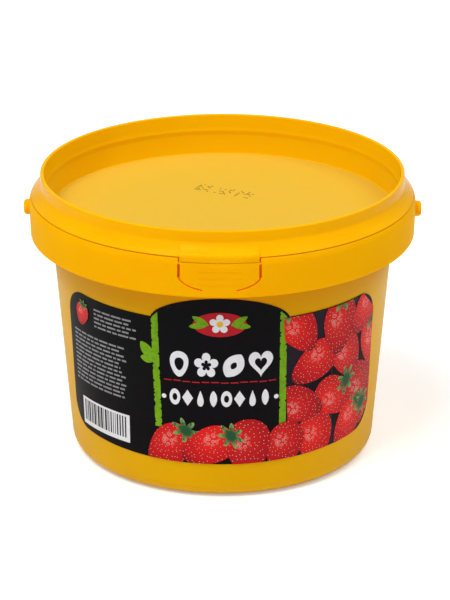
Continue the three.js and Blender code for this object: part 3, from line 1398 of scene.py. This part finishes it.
    def white_shapes(self, ink: Inks) -> None:
        """Print the motifs in their two rows, the blossom and the ground of the bars.

        Args:
            ink: The white ink.
        """
        lift = self.motif_lift
        big = (
            (Motif.BERRY, 0, 0.5),
            (Motif.BLOSSOM, 0, 0.42),
            (Motif.LEAF, -32, 0.3),
            (Motif.HEART, 0, 0.5),
        )
        for k, (shape, tilt, hole) in enumerate(big):
            wide = 7.2 if shape is Motif.LEAF else 4.0
            ink.motif(shape, mm(-13.2 + 8.8 * k, 48.8), mm(wide, 4.6), lift, tilt, hole, points=60)
        small = ((Motif.ROUND, 0.45), (Motif.DIAMOND, 0), (Motif.DROP, 0), (Motif.LEAF, 0))
        for k in range(8):
            shape, hole = small[k % 4]
            wide = 2.6 if shape is Motif.LEAF else 1.8
            ink.motif(shape, mm(-14.7 + 4.2 * k, 36.8), mm(wide, 2.9), lift, hole=hole)
        for side in (-1, 1):
            ink.motif(Motif.ROUND, mm(side * 18.4, 36.6), mm(0.8, 0.8), lift, points=20)
        ink.motif(Motif.BLOSSOM, mm(0, 63.6), mm(3.4, 3.4), lift, points=60)
        ink.plate(mm(-55, 16.2), mm(-31.4, 26.4), lift)

    def red_rule(self, ink: Inks) -> None:
        """Print the dashed rule between the rows and the oval behind the blossom.

        Args:
            ink: The red ink.
        """
        dash = 2.5
        pitch = 3.1
        for k in range(12):
            left = -18.3 + k * pitch
            sway = 0.12 * math.sin(1.7 * k)
            ink.plate(mm(left, 42.5 + sway), mm(left + dash, 42.9 + sway), self.under_lift)
        ink.motif(Motif.ROUND, mm(0, 63.4), mm(8.6, 4.3), self.oval_lift, points=60)

    def fine_lines(self, ink: Inks) -> None:
        """Print the small print as rows of plain dashes.

        Args:
            ink: The grey ink.
        """
        draw = random.Random(5)
        half = 0.32 * MM
        for left, right, top, rows in ((-46.2, -27.8, 61.2, 5), (-58.2, -32, 50.6, 13)):
            for row in range(rows):
                height = (top - 1.5 * row) * MM
                end = (right - draw.uniform(0, 3.5)) * MM
                at = left * MM
                while at < end:
                    word = min(draw.uniform(1.2, 4.2) * MM, end - at)
                    if word > 0.4 * MM:
                        ink.plate((at, height - half), (at + word, height + half), self.under_lift)
                    at += word + 0.55 * MM

    def bars(self, ink: Inks) -> None:
        """Print the dark bars on their white ground.

        Args:
            ink: The dark ink.
        """
        draw = random.Random(23)
        at = -53.8 * MM
        while at < -33.4 * MM:
            wide = draw.choice((0.28, 0.28, 0.55, 0.83)) * MM
            ink.plate((at, 17.8 * MM), (at + wide, 25.6 * MM), self.over_lift)
            at += wide + draw.choice((0.28, 0.4, 0.6)) * MM

    def blossom_heart(self, ink: Inks) -> None:
        """Print the middle of the blossom."""
        ink.motif(Motif.ROUND, mm(0, 63.6), mm(1.05, 1.05), self.over_lift, points=24)

    def berry_rows(self, rows: Sequence[Corner], count: int, draw: random.Random) -> list[Berry]:
        """Set berries in rows, each a little out of line, by a seeded rule.

        Args:
            rows: Height, first place across and pitch of each row.
            count: Berries in a row.
            draw: Seeded random draw.

        Returns:
            The berries from the lowest layer to the top one.
        """
        berries = []
        for height, left, pitch in rows:
            for k in range(count):
                across = left + pitch * k + draw.uniform(-1, 1) * self.berry_stray[0]
                spot = (across, height + draw.uniform(-1, 1) * self.berry_stray[1])
                size = draw.uniform(*self.berry_sizes)
                half = (size * self.berry_half[0], size * self.berry_half[1])
                tilt = draw.uniform(-1, 1) * self.berry_tilt_deg
                tone = draw.uniform(0, self.berry_tone)
                berries.append(Berry(spot, half, tilt, tone, draw.random() < self.capped_share))
        draw.shuffle(berries)
        berries.sort(key=lambda berry: berry.capped)
        return berries

    def print_berries(self, ink: Inks, berries: Sequence[Berry], layer: int, leaves: bool) -> None:
        """Draw berries, or the leaves on them, layer over layer.

        Args:
            ink: The ink to draw with.
            berries: The berries from the lowest layer to the top one.
            layer: Number of the first berry's layer.
            leaves: Whether the leaves are drawn, and not the berries.
        """
        for k, berry in enumerate(berries):
            lift = self.berry_lift + (layer + k) * self.berry_layer
            if not leaves:
                ink.motif(Motif.BERRY, berry.at, berry.half, lift, berry.tilt_deg, tone=berry.tone)
            elif berry.capped:
                spread = (self.cap_half[0] * berry.half[0], self.cap_half[1] * berry.half[1])
                over = lift + self.berry_layer / 2
                ink.motif(Motif.CAP, berry.crown(), spread, over, berry.tilt_deg, points=70)

    def berries(self) -> list[Piece]:
        """Print the berries of the right side, those of the bottom and a small one, with their leaves.

        Returns:
            The berry ink and the leaf ink.
        """
        draw = random.Random(8)
        rows = ((58, 27), (45, 32.5), (32, 26), (19, 33.5))
        side = self.berry_rows([(height * MM, left * MM, 14.7 * MM) for height, left in rows], 3, draw)
        side.insert(0, Berry(mm(60, 63.5), self.berry_half, 20, 0.4, False))
        low = self.berry_rows([(19 * MM, -16.5 * MM, 12.8 * MM)], 4, draw)
        low.append(Berry(mm(-52.6, 57.6), mm(4.4, 4.2), -14, 0.1, True))
        pieces = []
        for name, leaves in (("label_berries", False), ("label_berry_leaves", True)):
            ink = Inks(name, self.wall)
            self.print_berries(ink, side, 0, leaves)
            ink.trim(mm(22.5, 24), (-1, -0.042))
            self.print_berries(ink, low, len(side), leaves)
            self.trim_to_film(ink)
            pieces.append(ink.lay())
        return pieces

    def build(self) -> list[tuple[Piece, Material]]:
        """Model the film and print every ink on it.

        Returns:
            Each piece with its material, the film first.
        """
        berries, leaves = self.berries()
        pieces = [(self.film(), self.black.material())]
        for name, finish, print_on in (
            ("label_ground", self.night, self.ground),
            ("label_stripes", self.green, self.stripes),
            ("label_motifs", self.white, self.white_shapes),
            ("label_rule", self.red, self.red_rule),
            ("label_lines", self.grey, self.fine_lines),
            ("label_bars", self.dark, self.bars),
            ("label_blossom_heart", self.gold, self.blossom_heart),
        ):
            ink = Inks(name, self.wall)
            print_on(ink)
            pieces.append((ink.lay(), finish.material()))
        return [*pieces, (berries, self.berry.material()), (leaves, self.leaf.material())]

    def dress(self, pieces: Sequence[tuple[Piece, Material]]) -> None:
        """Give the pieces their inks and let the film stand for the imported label.

        Args:
            pieces: Each piece with its material, the film first.
        """
        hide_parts("label")
        for piece, material in pieces:
            Bench.finish(piece, "label_print", [material])


@dataclass
class LidStamp:
    """Faint dotted ink mark on the lid's panel, in three groups of dots that spell nothing."""

    finish: InkFinish
    panel_top: float
    middle: Spot = mm(0.5, 17.5)
    turn_deg: float = -27
    groups: int = 3
    group_pitch: float = 7.6 * MM
    columns: int = 6
    rows: int = 6
    column_pitch: float = 0.95 * MM
    row_pitch: float = 1.1 * MM
    dot_r: float = 0.34 * MM
    dot_sizes: Spot = (0.8, 1.15)
    dot_sides: int = 10
    film: float = 0.012 * MM
    share: float = 0.45

    def build(self) -> Piece:
        """Print the dots on the panel.

        Returns:
            The stamp's piece.
        """
        draw = random.Random(31)
        stamp = Bench.start("lid_stamp")
        turn = math.radians(self.turn_deg)
        for group in range(self.groups):
            for column in range(self.columns):
                for row in range(self.rows):
                    if draw.random() > self.share:
                        continue
                    along = (group - (self.groups - 1) / 2) * self.group_pitch
                    along += (column - (self.columns - 1) / 2) * self.column_pitch
                    up = (row - (self.rows - 1) / 2) * self.row_pitch
                    right = self.middle[0] + along * math.cos(turn) - up * math.sin(turn)
                    back = self.middle[1] + along * math.sin(turn) + up * math.cos(turn)
                    spot = (right, back, self.panel_top + self.film)
                    size = self.dot_r * draw.uniform(*self.dot_sizes)
                    bpy.ops.mesh.select_all(action="DESELECT")
                    bpy.ops.mesh.primitive_circle_add(
                        vertices=self.dot_sides, radius=size, fill_type="NGON", location=spot
                    )
        bpy.ops.object.mode_set(mode="OBJECT")
        Bench.apply(stamp, "SOLIDIFY", thickness=self.film, offset=-1)
        return stamp

    def dress(self, stamp: Piece) -> None:
        """Give the stamp its ink."""
        Bench.finish(stamp, "lid_plastic", [self.finish.material()])


@dataclass(frozen=True)
class Softbox:
    """Square soft light that faces the tub."""

    name: str
    azimuth_deg: float
    height_deg: float
    power: float
    away: float = 1.4
    size: float = 0.9

    def hang(self, centre: Vector) -> None:
        """Hang the light.

        Args:
            centre: The point that it faces, with its azimuth from the front towards the right.
        """
        light = bpy.data.lights.new(self.name, "AREA")
        light.size = self.size
        light.energy = self.power
        lamp = bpy.data.objects.new(self.name, light)
        bpy.context.scene.collection.objects.link(lamp)
        side = math.radians(self.azimuth_deg)
        rise = math.radians(self.height_deg)
        flat = self.away * math.cos(rise)
        arm = Vector((flat * math.sin(side), -flat * math.cos(side), self.away * math.sin(rise)))
        lamp.location = centre + arm
        lamp.rotation_euler = (centre - lamp.location).to_track_quat("-Z", "Y").to_euler()


@dataclass
class Studio:
    """Pale floor, white surroundings, soft lights and the camera of the photograph's view."""

    LIGHTS = (
        Softbox("left_key", -35, 60, 11.5, size=0.6),
        Softbox("left_side", -75, 60, 3.2),
        Softbox("right_side", 75, 60, 7.1),
        Softbox("back_right", 140, 45, 2.4),
    )

    pivot_height: float = 49.53 * MM
    distance: float = 928.64 * MM
    pitch_deg: float = 21.571
    yaw_deg: float = 0.8
    lens: float = 164.57
    near: float = 0.05
    aim_right: float = 0.85 * MM
    aim_up: float = 0.17 * MM
    floor_size: float = 4
    world_strength: float = 0.27
    floor_tone: Colour = (0.95, 0.95, 0.95)
    floor_roughness: float = 0.7
    floor_glow: Colour = (0.32, 0.32, 0.32)

    def floor(self) -> None:
        """Lay the floor, with a glow that only the camera sees and that doesn't light the tub."""
        Bench.clear()
        bpy.ops.mesh.primitive_plane_add(size=self.floor_size)
        floor = bpy.context.object
        floor.name = "studio_floor"
        material = bpy.data.materials.new("studio_floor")
        material.use_nodes = True
        tree = material.node_tree
        shader = tree.nodes["Principled BSDF"]
        shader.inputs["Base Color"].default_value = (*self.floor_tone, 1)
        shader.inputs["Roughness"].default_value = self.floor_roughness
        shader.inputs["Emission Color"].default_value = (*self.floor_glow, 1)
        seen = tree.nodes.new("ShaderNodeLightPath").outputs["Is Camera Ray"]
        tree.links.new(seen, shader.inputs["Emission Strength"])
        floor.data.materials.append(material)

    def world(self) -> None:
        """Surround the scene with plain white, which lights the tub only a little."""
        world = bpy.data.worlds.new("studio_white")
        world.use_nodes = True
        board = Nodes(world.node_tree)
        faint, white = (
            board.add("Background", {"Color": (1, 1, 1), "Strength": power}).outputs["Background"]
            for power in (self.world_strength, 1)
        )
        seen = board.add("LightPath").outputs["Is Camera Ray"]
        choice = board.add("MixShader", {0: seen, 1: faint, 2: white})
        board.add("OutputWorld", {"Surface": choice.outputs["Shader"]})
        bpy.context.scene.world = world

    def camera(self) -> None:
        """Set the camera at the photograph's view."""
        yaw = math.radians(self.yaw_deg)
        pitch = math.radians(self.pitch_deg)
        data = bpy.data.cameras.new("view")
        data.lens = self.lens
        data.clip_start = self.near
        camera = bpy.data.objects.new("view", data)
        bpy.context.scene.collection.objects.link(camera)
        level = math.cos(pitch)
        toward = Vector((-math.sin(yaw) * level, math.cos(yaw) * level, -math.sin(pitch)))
        right = Vector((math.cos(yaw), math.sin(yaw), 0))
        up = right.cross(toward)
        middle = Vector((0, 0, self.pivot_height)) + right * self.aim_right + up * self.aim_up
        camera.location = middle - toward * self.distance
        camera.rotation_euler = toward.to_track_quat("-Z", "Y").to_euler()
        bpy.context.scene.camera = camera

    def build(self) -> None:
        """Set up the floor, the surroundings, the lights and the camera."""
        self.floor()
        self.world()
        for softbox in self.LIGHTS:
            softbox.hang(Vector((0, 0, self.pivot_height)))
        self.camera()
        bpy.context.scene.view_settings.view_transform = "Standard"


def main() -> None:
    """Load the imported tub, read its sizes, build every piece and set the studio."""
    logging.basicConfig(level=logging.INFO, format="%(name)s: %(message)s")
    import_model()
    tub_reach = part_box("tub")[1]
    lid_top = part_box("lid")[1].z
    tub_plastic = PlasticFinish("tub_plastic", (0.96, 0.45, 0.001), (0.94, 0.425, 0.001), 0.4, gleam=0.005)
    # Painted shade on the tub's wall: its plastic is a darker copy of the collar's, and a band that darkens
    # it further starts at 60 mm and is full from 73 mm up to the collar
    under_collar_painted_shade = Patch((0.73, 0.32, 0.001), 0.1, *mm(60, 73))
    straw = (0.80, 0.425, 0.001)
    amber = (0.78, 0.405, 0.001)
    wall_painted_shade = PlasticFinish("wall_painted_shade", straw, amber, 0.4, gleam=0.11, patch=under_collar_painted_shade)
    # Painted shade in the seam between lid and collar: a darker copy of the plastic, without subsurface, on
    # the faces in the gap
    seam = PlasticFinish("seam_painted_shade", (0.80, 0.34, 0.001), (0.74, 0.30, 0.001), 0.5, gleam=0.005, glow=0)
    plastics = {Zone.BODY: tub_plastic, Zone.WALL: wall_painted_shade, Zone.SLIT: SLIT_PAINTED_GLOW, Zone.SEAM: seam}
    tub = Tub(finishes=plastics, collar_r=tub_reach.y, lug_end=tub_reach.x)
    tub.dress(tub.build())
    # The lid's panel is rougher, a real matte finish, and its paler colour is a painted sheen: the haze that
    # the matte surface gives in grazing light
    panel_start = Lid.panel_top + 0.6 * MM
    panel_full = Lid.panel_top + 0.2 * MM
    panel = Patch((0.70, 0.425, 0.036), 0.2, panel_start, panel_full, Lid.panel_r)
    yellow = (0.95, 0.455, 0.001)
    ochre = (0.93, 0.43, 0.001)
    lid_plastic = PlasticFinish("lid_plastic", yellow, ochre, 0.22, gleam=0.07, patch=panel)
    # Painted light on the recess wall: a lighter, yellower copy of the lid's plastic
    recess = PlasticFinish("recess_painted_light", (0.91, 0.49, 0.001), (0.89, 0.465, 0.001), 0.22, gleam=0.07)
    plastics = {Zone.BODY: lid_plastic, Zone.RECESS: recess, Zone.SEAM: seam}
    lid = Lid(finishes=plastics, rim_top=lid_top, lip_r=tub_reach.y)
    lid.dress(lid.build())
    stamp = LidStamp(InkFinish("stamp_brown", (0.05, 0.02, 0.004), (0.11, 0.05, 0.007)), lid.panel_top)
    stamp.dress(stamp.build())
    label = Label()
    label.dress(label.build())
    Studio().build()
    Bench.clear()


if __name__ == "__main__":
    main()
